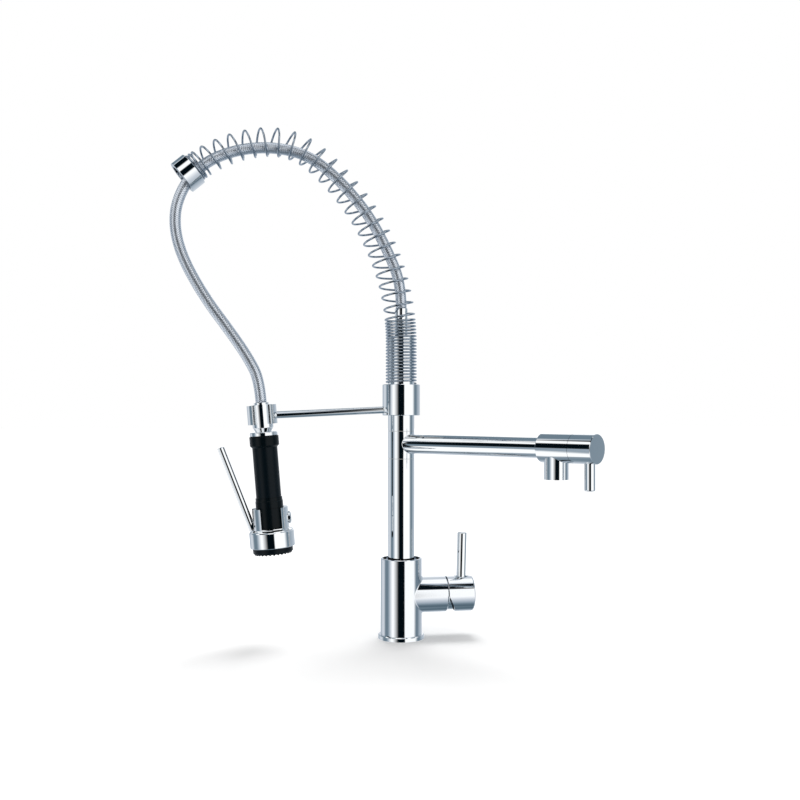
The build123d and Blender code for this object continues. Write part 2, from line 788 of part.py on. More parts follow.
def coil_stations(line_at, pitch_at, radius_at, lean_at, length, step=0.02):
    """Points and directions of a coil about a centre line, one for each half turn, and where it ends."""
    def point(distance, turns):
        x, z, heading = line_at(distance)
        angle = 2 * pi * turns
        out = radius_at(distance) * cos(angle)
        back = lean_at(distance) * cos(angle)
        return Vector(x + out * sin(heading) - back * cos(heading), radius_at(distance) * sin(angle),
                      z - out * cos(heading) - back * sin(heading))

    stations = []
    distance = 0.0
    turns = 0.0
    end = 0.0
    while distance <= length:
        if turns >= len(stations) / 2:
            end = distance
            ahead = point(distance + step, turns + step / pitch_at(distance))
            behind = point(distance - step, turns - step / pitch_at(distance))
            stations.append((point(distance, turns), (ahead - behind).normalized()))
        turns += step / pitch_at(distance + step / 2)
        distance += step
    return stations, end


def biarc(start, start_way, end, end_way):
    """Two arcs from one place and direction to the next, tangent where they meet."""
    gap = end - start
    ways = start_way + end_way
    turn = 2 * (1 - start_way.dot(end_way))
    along = gap.dot(ways)
    reach = (sqrt(along * along + turn * gap.dot(gap)) - along) / turn
    joint = (start + end + (start_way - end_way) * reach) * 0.5
    joint_way = (end - end_way * reach - start - start_way * reach).normalized()
    return [Edge.make_tangent_arc(start, start_way, joint), Edge.make_tangent_arc(joint, joint_way, end)]


def wound(stations, thickness):
    """One tube along the stations, with a straight end of one thickness at each side."""
    first, first_way = stations[0]
    last, last_way = stations[-1]
    edges = [Edge.make_line(first - first_way * thickness, first)]
    for (start, start_way), (end, end_way) in zip(stations, stations[1:]):
        edges += biarc(start, start_way, end, end_way)
    edges.append(Edge.make_line(last, last + last_way * thickness))
    section = Plane(origin=first - first_way * thickness, z_dir=first_way) * Circle(thickness / 2)
    return sweep(section, path=Wire(edges)), edges


def least_self_gap(edges, thickness, name):
    """Least gap between a turn and the next one, measured on points along the tube."""
    per_edge = 8
    points = [edge @ (i / per_edge) for edge in edges for i in range(per_edge)]
    turn = 4 * per_edge
    least = 1e9
    for i, point in enumerate(points):
        for other in points[i + turn // 2:i + turn + turn // 2]:
            least = min(least, (point - other).length)
    print(f"{name}: least gap to itself {least - thickness:.2f} mm")


def make_spring():
    stations, coil_end = coil_stations(arch_at, arch_pitch, arch_radius, arch_lean, arch_length)
    spring, edges = wound(stations, wire)
    save(spring, "spring")
    least_self_gap(edges, wire, "spring")
    print(f"spring: {(len(stations) - 1) / 2:.1f} turns, {coil_end:.1f} mm along its centre line")

    x, z, heading = arch_at(coil_end)
    floor = wire / 2 + cap_gap
    cap_foot = floor - cap_pocket
    cap_end = cap_foot + cap_length
    cap_place = Location(Plane(origin=(x, 0, z), x_dir=(0, 1, 0), z_dir=(cos(heading), 0, sin(heading))))
    cap = disc(cap_radius, cap_foot, cap_end)
    cap = chamfer(cap.edges().group_by(Axis.Z)[0] + cap.edges().group_by(Axis.Z)[-1], cap_edge)
    cap -= disc(coil_tip_radius + wire / 2 + cap_gap, cap_foot, floor)
    cap -= disc(cap_bore, floor, cap_end)
    save(cap_place * cap, "spring_end_cap")


# ---------------------------------------------------------------- hose

def make_hose():
    end_height = swivel_above + end_collar_height
    hose_end = (handset_place * Pos(0, 0, end_height)).position
    before_end = (handset_place * Pos(0, 0, end_height + last_run)).position
    route = [Vector(0, 0, hose_foot)]
    route += [Vector(x, 0, hose_foot + z) for x, z in held_route + free_route]
    route += [before_end, hose_end]
    runs = [(after - before).length for before, after in zip(route, route[1:])]
    radii = []
    for index in range(1, len(route) - 1):
        turn = (route[index] - route[index - 1]).get_angle(route[index + 1] - route[index])
        radii.append(arc_share * min(runs[index - 1], runs[index]) / tan(radians(turn / 2)))
    path = FilletPolyline(*route, radius=radii)
    start = Plane(origin=route[0], z_dir=(route[1] - route[0]).normalized())
    hose = sweep(start * (Circle(hose_radius) - Circle(hose_bore)), path=path)
    section = pi * (hose_radius ** 2 - hose_bore ** 2)
    print("hose: arc radii", ", ".join(f"{radius:.0f}" for radius in radii))
    print("hose: runs", ", ".join(f"{run:.0f}" for run in runs))
    print(f"hose: length {path.length:.1f} mm")
    print(f"hose: volume {hose.volume:.0f}, section times length {section * path.length:.0f} mm3")

    # The hose is one piece; it is cut in two inside the cap, where its free stretch starts.
    held = len(held_route)
    cut_at = (route[held] + route[held + 1]) * 0.5
    cut = Plane(origin=cut_at, z_dir=(route[held + 1] - route[held]).normalized())
    save(split(hose, bisect_by=cut, keep=Keep.BOTTOM), "hose_in_spring")
    save(split(hose, bisect_by=cut, keep=Keep.TOP), "hose_free")


# ---------------------------------------------------------------- handset

neck_top = -swivel_below - clear_gap
flange_top = neck_top - neck_height
cap_ring_top = flange_top - neck_flange_height
grip_top = cap_ring_top - cap_ring_height
grip_foot = grip_top - grip_length
ring_foot = grip_foot - lower_ring_height
head_foot = ring_foot - head_height
block_foot = head_foot - block_sunk
bell_top = head_foot - shoulder_height
bell_foot = bell_top - bell_height
pivot_z = head_foot + trigger_height
valve_z = pivot_z + valve_rise
nose_end = trigger_x + nose_width
core_inner = core_radius - core_wall
sleeve_inner = core_radius + seat_gap


def make_swivel():
    spigot_foot = swivel_above - end_spigot_depth
    sleeve = disc(swivel_radius, -swivel_below, swivel_above)
    sleeve -= disc(neck_stem_radius + running_gap, -swivel_below, spigot_foot - swivel_floor)
    sleeve -= disc(end_spigot_radius + seat_gap, spigot_foot, swivel_above)
    sleeve -= disc(hose_bore, -swivel_below, swivel_above)
    save(handset_place * sleeve, "swivel_ferrule")
    collar_end_height = swivel_above + end_collar_height
    collar = ring(end_collar_radius, hose_bore, swivel_above + seal_gap, collar_end_height)
    collar += ring(end_spigot_radius, hose_bore, spigot_foot + seat_gap, collar_end_height)
    middle = (swivel_above + collar_end_height) / 2
    collar -= ring(swivel_radius, end_collar_radius - crimp_depth, middle - crimp_width / 2,
                   middle + crimp_width / 2)
    save(handset_place * collar, "hose_end_collar")


def make_grip():
    stem_top = neck_top + neck_stem_height
    spigot_foot = cap_ring_top - neck_spigot
    neck = turned(
        (handset_bore, spigot_foot), (core_inner - seat_gap, spigot_foot),
        (core_inner - seat_gap, cap_ring_top), (neck_flange_radius, cap_ring_top),
        (neck_flange_radius, flange_top), (neck_cone_low, flange_top),
        (neck_cone_high, neck_top), (neck_stem_radius, neck_top),
        (neck_stem_radius, stem_top), (handset_bore, stem_top))
    groove_foot = neck_top + neck_stem_height / 2
    groove_top = groove_foot + o_ring_section
    groove_radius = neck_stem_radius - o_ring_section
    neck -= ring(swivel_radius, groove_radius, groove_foot, groove_top)
    rims = neck.edges().filter_by(GeomType.CIRCLE).group_by(SortBy.RADIUS)[-1]
    save(handset_place * chamfer(rims, grip_edge), "neck_flange")
    o_ring = ring(neck_stem_radius, groove_radius, groove_foot + seal_gap, groove_top - seal_gap)
    save(handset_place * o_ring, "neck_o_ring")

    core = ring(core_radius, core_inner, ring_foot + seat_gap, cap_ring_top)
    save(handset_place * core, "grip_core")
    cap = turned(
        (sleeve_inner, grip_top), (cap_ring_radius - cap_ring_chamfer, grip_top),
        (cap_ring_radius, grip_top + cap_ring_chamfer), (cap_ring_radius, cap_ring_top - grip_edge),
        (cap_ring_radius - grip_edge, cap_ring_top), (sleeve_inner, cap_ring_top))
    save(handset_place * cap, "grip_cap_ring")
    save(handset_place * ring(grip_radius, sleeve_inner, grip_foot, grip_top), "grip_sleeve")
    step_height = grip_foot - lower_ring_band
    step_radius = lower_ring_radius - lower_ring_step
    lower = turned(
        (sleeve_inner, grip_foot), (step_radius, grip_foot), (step_radius, step_height),
        (lower_ring_radius, step_height - lower_ring_step), (lower_ring_radius, ring_foot),
        (sleeve_inner, ring_foot))
    save(handset_place * lower, "grip_lower_ring")


def make_head():
    # Chrome head: two cheeks beside the black valve block, on a sloping shoulder.
    cheek_inner = block_radius + seat_gap
    bell_seat = bell_radius - bell_edge
    head = turned(
        (cheek_inner, ring_foot), (head_radius, ring_foot), (head_radius, head_foot),
        (bell_seat, bell_top + bell_edge), (bell_seat, bell_top), (water_radius, bell_top),
        (water_radius, block_foot), (cheek_inner, block_foot))
    window_foot = head_foot + window_sill
    window = Pos(0, 0, (window_foot + ring_foot) / 2) * Box(
        window_width, 2 * bell_radius, ring_foot - window_foot)
    head -= window
    slot_foot = head_foot - slot_sunk
    slot = Pos(-head_radius, 0, (slot_foot + ring_foot) / 2) * Box(
        2 * (head_radius - slot_floor), trigger_slot, ring_foot - slot_foot)
    head -= slot
    head -= Pos(trigger_x, 0, pivot_z) * across * disc(
        trigger_pin_radius + seal_gap, -trigger_pin_half, trigger_pin_half)
    cap_face = head_radius - valve_cap_sunk
    valve_way = Pos(0, 0, valve_z)
    head -= valve_way * cross_pin(valve_cap_radius + clear_gap, cap_face, bell_radius)
    head -= valve_way * cross_pin(valve_cap_shank + seat_gap, 0, head_radius)
    save(handset_place * head, "head_housing")

    # Valve block: water comes down its middle, past the plunger, and leaves beside it.
    block_top = ring_foot - seal_gap
    spigot_top = ring_foot + block_spigot
    block = disc(block_radius, block_foot + seal_gap, block_top)
    block += disc(core_inner - seat_gap, block_foot + seal_gap, spigot_top)
    block -= slot
    block -= disc(handset_bore, valve_z, spigot_top)
    block -= Pos(0, valve_way_offset, 0) * disc(valve_way_radius, block_foot, valve_z)
    block -= valve_way * cross_pin(plunger_radius + running_gap, -block_radius, block_radius)
    chamber_start = plunger_end - plunger_flange_height - clear_gap
    block -= valve_way * cross_pin(valve_cap_shank + seat_gap, chamber_start, block_radius)
    save(handset_place * block, "valve_block")

    dome = nose_end + plunger_gap + plunger_radius
    plunger = cross_pin(plunger_radius, dome, plunger_end) + Pos(dome, 0, 0) * Sphere(plunger_radius)
    plunger += cross_pin(plunger_flange, plunger_end - plunger_flange_height, plunger_end)
    save(handset_place * valve_way * plunger, "valve_plunger")
    coil_start = plunger_end + return_wire / 2 + seat_gap
    stations, coil_length = coil_stations(
        upright, lambda distance: return_pitch, lambda distance: return_radius, lambda distance: 0,
        return_pitch * return_turns)
    coil, edges = wound(stations, return_wire)
    least_self_gap(edges, return_wire, "valve spring")
    save(handset_place * valve_way * Rot(0, 90, 0) * Pos(0, 0, coil_start) * coil, "valve_spring")
    shank_start = coil_start + coil_length + return_wire / 2 + seat_gap
    cap = cross_pin(valve_cap_shank, shank_start, head_radius)
    knob = cross_pin(valve_cap_radius, cap_face + seal_gap, head_radius + valve_cap_height)
    cap += chamfer(knob.edges().group_by(Axis.X)[-1], valve_cap_edge)
    save(handset_place * valve_way * cap, "valve_cap")


def upright(distance):
    """Centre line of a straight coil."""
    return 0.0, distance, pi / 2


def nozzle_spots(part):
    """Copies of a part at every nozzle, in rings about the spray's axis."""
    return [Rot(0, 0, 360 * i / count) * Pos(reach, 0, 0) * part
            for reach, count in nub_rings for i in range(count)]


def make_spray():
    top = bell_top - seal_gap
    roof = top - bell_roof
    inner = bell_radius - bell_wall
    bell = turned(
        (water_radius, top), (bell_radius - bell_edge, top), (bell_radius, top - bell_edge),
        (bell_radius, bell_foot + grip_edge), (bell_radius - grip_edge, bell_foot), (inner, bell_foot),
        (inner, roof), (water_radius, roof))
    save(handset_place * bell, "spray_bell")
    plate_foot = bell_foot + plate_recess
    plate_top = plate_foot + plate_height
    plate = disc(inner - seat_gap, plate_foot, plate_top)
    plate -= Compound(nozzle_spots(disc(plate_way, plate_foot, plate_top)))
    save(handset_place * plate, "spray_plate")
    face_top = plate_foot - seal_gap
    face_foot = face_top - face_depth
    face = disc(face_radius, face_foot, face_top)
    face = chamfer(face.edges().group_by(Axis.Z)[0], face_edge)
    nub = Cone(nub_tip, nub_radius, nub_height, align=(Align.CENTER, Align.CENTER, Align.MAX))
    face += nozzle_spots(Pos(0, 0, face_foot) * nub)
    save(handset_place * face, "spray_face")


def make_trigger():
    hub = across * disc(trigger_hub, -trigger_width / 2, trigger_width / 2)
    nose_top = valve_rise + plunger_radius
    nose = Pos(nose_width / 2, 0, nose_top / 2) * Box(nose_width, trigger_width, nose_top)
    rod = disc(trigger_radius, -trigger_below, trigger_length - trigger_below)
    rod = chamfer(rod.edges().group_by(Axis.Z)[-1], trigger_round)
    lever = hub + nose + Rot(0, -trigger_lean, 0) * Pos(-trigger_offset, 0, 0) * rod
    lever -= across * disc(trigger_pin_radius + running_gap, -trigger_width, trigger_width)
    place = handset_place * Pos(trigger_x, 0, pivot_z)
    save(place * lever, "trigger_lever")
    save(place * across * disc(trigger_pin_radius, -trigger_pin_half, trigger_pin_half), "trigger_pivot_pin")


make_base()
make_cartridge()
make_knob()
make_column()
make_spout()
make_headwork()
make_spout_knob()
make_arm()
make_spring()
make_hose()
make_swivel()
make_grip()
make_head()
make_spray()
make_trigger()
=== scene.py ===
import json
import math
import bmesh
import bpy
from mathutils import Matrix, Vector


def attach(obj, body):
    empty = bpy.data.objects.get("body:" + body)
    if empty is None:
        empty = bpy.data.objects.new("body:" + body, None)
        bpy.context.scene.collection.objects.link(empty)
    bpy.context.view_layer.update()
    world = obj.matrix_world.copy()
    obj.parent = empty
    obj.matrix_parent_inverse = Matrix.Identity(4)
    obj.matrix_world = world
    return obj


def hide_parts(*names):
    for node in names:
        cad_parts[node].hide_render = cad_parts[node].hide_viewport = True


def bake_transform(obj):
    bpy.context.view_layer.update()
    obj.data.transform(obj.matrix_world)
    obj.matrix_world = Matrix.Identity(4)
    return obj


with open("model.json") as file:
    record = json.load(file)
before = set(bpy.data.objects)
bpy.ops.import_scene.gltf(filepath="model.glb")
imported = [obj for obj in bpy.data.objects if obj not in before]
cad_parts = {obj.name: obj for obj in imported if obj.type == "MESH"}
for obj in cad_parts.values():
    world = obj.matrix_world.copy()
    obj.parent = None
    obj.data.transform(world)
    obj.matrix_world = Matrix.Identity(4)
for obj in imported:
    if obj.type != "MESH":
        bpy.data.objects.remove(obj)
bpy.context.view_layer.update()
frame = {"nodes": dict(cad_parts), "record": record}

nodes = frame["nodes"]
mm = 0.001


def hexColour(text):
    # sRGB hex to the linear colour that the nodes want
    channels = [int(text[i:i + 2], 16) / 255 for i in (1, 3, 5)]
    linear = [c / 12.92 if c <= 0.04045 else ((c + 0.055) / 1.055) ** 2.4 for c in channels]
    return (*linear, 1.0)


def addNode(tree, kind, values=None, links=None, **settings):
    # one node with its settings, its socket values and what is linked into it
    node = tree.nodes.new(kind)
    for name, value in settings.items():
        setattr(node, name, value)
    for socket, value in (values or {}).items():
        node.inputs[socket].default_value = value
    for socket, source in (links or {}).items():
        tree.links.new(source, node.inputs[socket])
    return node


def newTree(name):
    material = bpy.data.materials.new(name)
    material.use_nodes = True
    material.node_tree.nodes.clear()
    return material, material.node_tree


def finishTree(tree, shader):
    output = addNode(tree, "ShaderNodeOutputMaterial")
    tree.links.new(shader.outputs[0], output.inputs["Surface"])


# camera: as far and as high as the photo's perspective says

camera = {
    "azimuth": -10.0,       # degrees from the front, towards the spray arm
    "distance": 1090 * mm,  # from the column's axis
    "height": 243 * mm,     # level with the support bar
    "lens": 45.9,           # mm on a 36 mm sensor
    "shiftX": -0.0015,
    "shiftY": 0.0125,
}


def placeCamera():
    data = bpy.data.cameras.new("camera")
    data.lens = camera["lens"]
    data.shift_x = camera["shiftX"]
    data.shift_y = camera["shiftY"]
    eye = bpy.data.objects.new("camera", data)
    turn = math.radians(camera["azimuth"])
    away = camera["distance"]
    eye.location = (math.sin(turn) * away, -math.cos(turn) * away, camera["height"])
    eye.rotation_euler = (math.radians(90), 0, turn)
    bpy.context.collection.objects.link(eye)
    bpy.context.scene.camera = eye


placeCamera()
print("camera placed")


# hose: one hose, in two pieces that meet inside the spring's end cap

hose = {
    "diameter": 11.5 * mm,
    "heldRoute": (
        (0.0, 351.2), (0.0, 377.2), (-14.5, 412.7), (-36.0, 452.2), (-68.0, 488.2), (-100.0, 511.7),
        (-138.0, 518.2), (-175.0, 513.2), (-207.0, 498.7), (-217.75, 485.95)),
    "freeRoute": (
        (-217.75, 485.95), (-228.5, 473.2), (-238.0, 442.2), (-231.5, 405.2), (-208.0, 361.7),
        (-179.0, 322.7), (-161.4, 296.7), (-150.30, 274.50), (-148.375, 250.576)),
    "sides": 32,            # corners of its round section
    "pathSteps": 14,        # per control point
    "strandsAround": 20,    # strands of the braid round the hose, half of them each way
    "strandRise": 2.2 * mm,     # height of one diamond of the braid, coarser than the real one so as to show
    "bendStart": (-228.5 * mm, 0.0, 474 * mm),   # from here the hose gives way as the handset is pulled,
    "bendEnd": (-150 * mm, 0.0, 262 * mm),       # and from here it moves with it
}


def smoothPath(name, route):
    # the route's points are the control points of one smooth line in the arm's plane
    line = bpy.data.curves.new(name, "CURVE")
    line.dimensions = "3D"
    spline = line.splines.new("NURBS")
    spline.points.add(len(route) - 1)
    for point, (x, z) in zip(spline.points, route):
        point.co = (x * mm, 0, z * mm, 1)
    spline.order_u = 3
    spline.use_endpoint_u = True
    spline.resolution_u = hose["pathSteps"]
    carrier = bpy.data.objects.new(name, line)
    bpy.context.collection.objects.link(carrier)
    bpy.context.view_layer.update()
    mesh = bpy.data.meshes.new_from_object(carrier)
    path = [vertex.co.copy() for vertex in mesh.vertices]
    bpy.data.objects.remove(carrier)
    bpy.data.meshes.remove(mesh)
    bpy.data.curves.remove(line)
    return path


def sectionFrames(path):
    # one upright section for each point of a path that stays in the XZ plane
    frames = []
    for index, point in enumerate(path):
        before = path[max(index - 1, 0)]
        after = path[min(index + 1, len(path) - 1)]
        ahead = (after - before).normalized()
        side = Vector((0, 1, 0))
        turn = Matrix((ahead.cross(side), side, -ahead)).transposed()
        frames.append(Matrix.Translation(point) @ turn.to_4x4())
    return frames


def tubeAlong(name, path, radius, sides):
    # a closed tube, extruded from ring to ring; its UV map runs round in turns and along in metres
    shape = bmesh.new()
    around = shape.verts.layers.float.new("around")
    along = shape.verts.layers.float.new("along")
    frames = sectionFrames(path)
    ring = bmesh.ops.create_circle(shape, segments=sides, radius=radius)["verts"]
    for vertex in ring:
        vertex[around] = (math.atan2(vertex.co.y, vertex.co.x) / (2 * math.pi)) % 1.0
    edges = list(shape.edges)
    bmesh.ops.transform(shape, matrix=frames[0], verts=ring)
    travelled = 0.0
    for index in range(1, len(path)):
        travelled += (path[index] - path[index - 1]).length
        made = bmesh.ops.extrude_edge_only(shape, edges=edges)["geom"]
        ring = [item for item in made if isinstance(item, bmesh.types.BMVert)]
        onRing = set(ring)
        edges = [item for item in made if isinstance(item, bmesh.types.BMEdge)
                 and item.verts[0] in onRing and item.verts[1] in onRing]
        bmesh.ops.transform(shape, matrix=frames[index] @ frames[index - 1].inverted(), verts=ring)
        for vertex in ring:
            vertex[along] = travelled
    for face in shape.faces:
        face.smooth = True
    ends = bmesh.ops.holes_fill(shape, edges=[edge for edge in shape.edges if edge.is_boundary])
    bmesh.ops.recalc_face_normals(shape, faces=shape.faces)
    uvMap = shape.loops.layers.uv.new("UVMap")
    capFaces = set(ends["faces"])
    for face in shape.faces:
        spans = [loop.vert[around] for loop in face.loops]
        wraps = face not in capFaces and max(spans) - min(spans) > 0.5
        for loop in face.loops:
            turned = loop.vert[around]
            loop[uvMap].uv = (turned + 1.0 if wraps and turned < 0.5 else turned, loop.vert[along])
    mesh = bpy.data.meshes.new(name)
    shape.to_mesh(mesh)
    shape.free()
    piece = bpy.data.objects.new(name, mesh)
    bpy.context.collection.objects.link(piece)
    return piece


def pathLength(path):
    return sum((after - before).length for before, after in zip(path, path[1:]))


heldPath = smoothPath("heldLine", hose["heldRoute"])
freePath = smoothPath("freeLine", hose["freeRoute"])
hoseInSpring = tubeAlong("hoseInSpring", heldPath, hose["diameter"] / 2, hose["sides"])
hoseFree = tubeAlong("hoseFree", freePath, hose["diameter"] / 2, hose["sides"])
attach(hoseInSpring, "spray_arm")
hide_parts("hose_in_spring")
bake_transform(hoseFree)
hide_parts("hose_free")
print("hose laid,", round(pathLength(heldPath) + pathLength(freePath), 3), "m")


# arch spring: a tight coil on the column, an open arch, and closed turns in the cap

archSpring = {
    "wire": 2.2 * mm,
    "radius": 15.6 * mm,        # of the wire's middle
    "tipRadius": 14.1 * mm,
    "narrow": (150.0 * mm, 270.0 * mm),   # where along the arch it narrows from the one to the other
    "lean": 2.4 * mm,           # how far a turn leans,
    "leanRise": 30.0 * mm,      # the length over which that begins,
    "leanFall": 70.0 * mm,      # the length over which it ends,
    "leanEnd": 360.0 * mm,      # and where it has ended
    "foot": 271.4 * mm,         # height of the first turn
    "tightTurns": 20,
    "tightPitch": 3.35 * mm,
    "straight": 43.5 * mm,      # length above the foot before the arch bends
    "arcs": ((248.0 * mm, 50.5), (73.5 * mm, 46.6), (139.5 * mm, 33.6)),   # radius and degrees of its bends
    "openPitches": (12.9, 12.4, 13.4, 15.1, 14.9, 15.0, 14.7, 13.9),       # mm, at even steps along the arch
    "ramp": 8.0 * mm,           # length over which the pitch changes at both ends
    "closedTurns": 3,
    "closedPitch": 3.2 * mm,
    "march": 0.02 * mm,         # step along the arch in which the turns are counted
    "stepsPerTurn": 28,         # points of the wire in one turn
    "roundness": 3,             # bevel resolution of the wire
    "weld": 0.001 * mm,         # points closer than this are merged
}


def archAt(distance):
    # place and heading of the spring's centre line
    x = 0.0
    z = archSpring["foot"] + min(distance, archSpring["straight"])
    heading = math.pi / 2
    left = distance - archSpring["straight"]
    for radius, sweep in archSpring["arcs"]:
        if left <= 0:
            break
        step = min(left, radius * math.radians(sweep))
        x -= radius * math.sin(heading)
        z += radius * math.cos(heading)
        heading += step / radius
        x += radius * math.sin(heading)
        z -= radius * math.cos(heading)
        left -= step
    return x + max(left, 0) * math.cos(heading), z + max(left, 0) * math.sin(heading), heading


def archLength():
    return archSpring["straight"] + sum(r * math.radians(sweep) for r, sweep in archSpring["arcs"])


def archPitch(distance):
    # rise of one turn: tight, open with the photo's own spacing, then closed
    tight = archSpring["tightPitch"]
    closed = archSpring["closedPitch"]
    openStart = tight * archSpring["tightTurns"]
    openEnd = archLength() - closed * archSpring["closedTurns"]
    if distance <= openStart:
        return tight
    if distance >= openEnd:
        return closed
    pitches = [pitch * mm for pitch in archSpring["openPitches"]]
    ramp = archSpring["ramp"]
    spans = len(pitches) - 1
    span = (distance - openStart - ramp) / (openEnd - openStart - 2 * ramp) * spans
    if span < 0:
        return tight + (pitches[0] - tight) * (distance - openStart) / ramp
    if span > spans:
        return closed + (pitches[-1] - closed) * (openEnd - distance) / ramp
    index = min(int(span), spans - 1)
    return pitches[index] + (pitches[index + 1] - pitches[index]) * (span - index)


def coilRadius(distance):
    # the stretched end of the arch is narrower than its foot
    start, end = archSpring["narrow"]
    share = min(max((distance - start) / (end - start), 0), 1)
    return archSpring["radius"] + (archSpring["tipRadius"] - archSpring["radius"]) * share


def coilLean(distance):
    # the outer side of a turn hangs back along the arch, its inner side leans on
    rise = (distance - archSpring["tightPitch"] * archSpring["tightTurns"]) / archSpring["leanRise"]
    fall = (archSpring["leanEnd"] - distance) / archSpring["leanFall"]
    return archSpring["lean"] * max(0, min(1, rise, fall))


def coilPoints():
    points = []
    distance = 0.0
    turns = 0.0
    step = archSpring["march"]
    while distance <= archLength():
        if turns * archSpring["stepsPerTurn"] >= len(points):
            x, z, heading = archAt(distance)
            angle = 2 * math.pi * turns
            radius = coilRadius(distance)
            out = radius * math.cos(angle)
            back = coilLean(distance) * math.cos(angle)
            points.append(Vector((x + out * math.sin(heading) - back * math.cos(heading),
                                  radius * math.sin(angle),
                                  z - out * math.cos(heading) - back * math.sin(heading))))
        turns += step / archPitch(distance + step / 2)
        distance += step
    return points


def windSpring():
    points = coilPoints()
    line = bpy.data.curves.new("archSpring", "CURVE")
    line.dimensions = "3D"
    line.bevel_depth = archSpring["wire"] / 2
    line.bevel_resolution = archSpring["roundness"]
    line.use_fill_caps = True
    spline = line.splines.new("POLY")
    spline.points.add(len(points) - 1)
    for target, point in zip(spline.points, points):
        target.co = (*point, 1)
    carrier = bpy.data.objects.new("springLine", line)
    bpy.context.collection.objects.link(carrier)
    bpy.context.view_layer.update()
    mesh = bpy.data.meshes.new_from_object(carrier)
    bpy.data.objects.remove(carrier)
    shape = bmesh.new()
    shape.from_mesh(mesh)
    bmesh.ops.remove_doubles(shape, verts=shape.verts, dist=archSpring["weld"])
    for face in shape.faces:
        face.smooth = True
    shape.to_mesh(mesh)
    shape.free()
    piece = bpy.data.objects.new("archSpring", mesh)
    bpy.context.collection.objects.link(piece)
    return piece


springPiece = windSpring()
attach(springPiece, "spray_arm")
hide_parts("spring")
print("spring wound")


# finishes: colours, roughness from the smoothest to the roughest place, and the real size of each pattern

noiseRange = {"From Min": 0.3, "From Max": 0.7}   # between these lie most values of a noise texture

plate = {
    "colour": "#e6e9eb",
    "roughness": (0.025, 0.06),
    "haze": 18.18 * mm,         # size of the softer patches
    "hazeRange": {"From Min": 0.35, "From Max": 0.75},   # noise at the smoothest and the roughest place
}


def polishedChrome():
    # bright nickel-chrome plate, buffed: mirror reflections, a little softer in patches, from wiping
    material, tree = newTree("polishedChrome")
    place = addNode(tree, "ShaderNodeTexCoord")
    haze = addNode(tree, "ShaderNodeTexNoise", {"Scale": 1 / plate["haze"], "Detail": 3.0, "Roughness": 0.6},
                   {"Vector": place.outputs["Object"]})
    smooth, rough = plate["roughness"]
    roughness = addNode(tree, "ShaderNodeMapRange",
                        {**plate["hazeRange"], "To Min": smooth, "To Max": rough},
                        {"Value": haze.outputs["Fac"]})
    shader = addNode(tree, "ShaderNodeBsdfPrincipled",
                     {"Base Color": hexColour(plate["colour"]), "Metallic": 1.0},
                     {"Roughness": roughness.outputs["Result"]})
    finishTree(tree, shader)
    return material


turnedPlate = {
    "colour": "#e4e7ea",
    "roughness": (0.035, 0.09),
    "ringEvery": 0.9 * mm,      # the real tool rings are finer and wouldn't show
    "ringDepth": 0.04 * mm,
    "ringStrength": 0.1,
    "branchFrom": 22.4 * mm,    # from here outwards the rings run round the side valve
}


def turnedChrome(name, grooves):
    # chrome over a lathe-turned body: fine rings round the axis soften the mirror along it
    material, tree = newTree(name)
    place = addNode(tree, "ShaderNodeTexCoord")
    axes = addNode(tree, "ShaderNodeSeparateXYZ", links={"Vector": place.outputs["Object"]})
    if grooves == "branch":
        onBranch = addNode(tree, "ShaderNodeMath", {1: turnedPlate["branchFrom"]}, {0: axes.outputs["X"]},
                           operation="GREATER_THAN")
        along = addNode(tree, "ShaderNodeMix", None, {
            "Factor": onBranch.outputs[0], "A": axes.outputs["Z"], "B": axes.outputs["X"]}).outputs["Result"]
    else:
        along = axes.outputs[grooves]
    count = addNode(tree, "ShaderNodeMath", {1: 1 / turnedPlate["ringEvery"]}, {0: along},
                    operation="MULTIPLY")
    lines = addNode(tree, "ShaderNodeTexNoise", {"Scale": 1.0, "Detail": 4.0, "Roughness": 0.75},
                    {"W": count.outputs[0]}, noise_dimensions="1D")
    bump = addNode(tree, "ShaderNodeBump",
                   {"Strength": turnedPlate["ringStrength"], "Distance": turnedPlate["ringDepth"]},
                   {"Height": lines.outputs["Fac"]})
    smooth, rough = turnedPlate["roughness"]
    roughness = addNode(tree, "ShaderNodeMapRange",
                        {**noiseRange, "To Min": smooth, "To Max": rough},
                        {"Value": lines.outputs["Fac"]})
    shader = addNode(tree, "ShaderNodeBsdfPrincipled",
                     {"Base Color": hexColour(turnedPlate["colour"]), "Metallic": 1.0},
                     {"Roughness": roughness.outputs["Result"], "Normal": bump.outputs["Normal"]})
    finishTree(tree, shader)
    return material


springWire = {"colour": "#a3aeb9", "roughness": (0.04, 0.09), "drawMarks": 2.381 * mm}


def drawnWire():
    # hard-drawn stainless wire: bright, with faint draw marks
    material, tree = newTree("drawnSteelWire")
    place = addNode(tree, "ShaderNodeTexCoord")
    marks = addNode(tree, "ShaderNodeTexNoise", {"Scale": 1 / springWire["drawMarks"], "Detail": 3.0},
                    {"Vector": place.outputs["Object"]})
    smooth, rough = springWire["roughness"]
    roughness = addNode(tree, "ShaderNodeMapRange",
                        {**noiseRange, "To Min": smooth, "To Max": rough},
                        {"Value": marks.outputs["Fac"]})
    shader = addNode(tree, "ShaderNodeBsdfPrincipled",
                     {"Base Color": hexColour(springWire["colour"]), "Metallic": 1.0},
                     {"Roughness": roughness.outputs["Result"]})
    finishTree(tree, shader)
    return material


braid = {
    "paintedShadeGap": "#5a6b7b",        # painted shade between the strands
    "crown": "#dde4ed",         # on top of a strand
    "spread": (0.05, 0.6),      # heights of the weave between which the one turns into the other
    "metal": 0.85,
    "roughness": 0.28,
    "relief": 0.35 * mm,
    "reliefStrength": 0.45,
    "sleeve": 0.6,              # the clear sleeve's share of the shine
    "sleeveRoughness": 0.08,
}


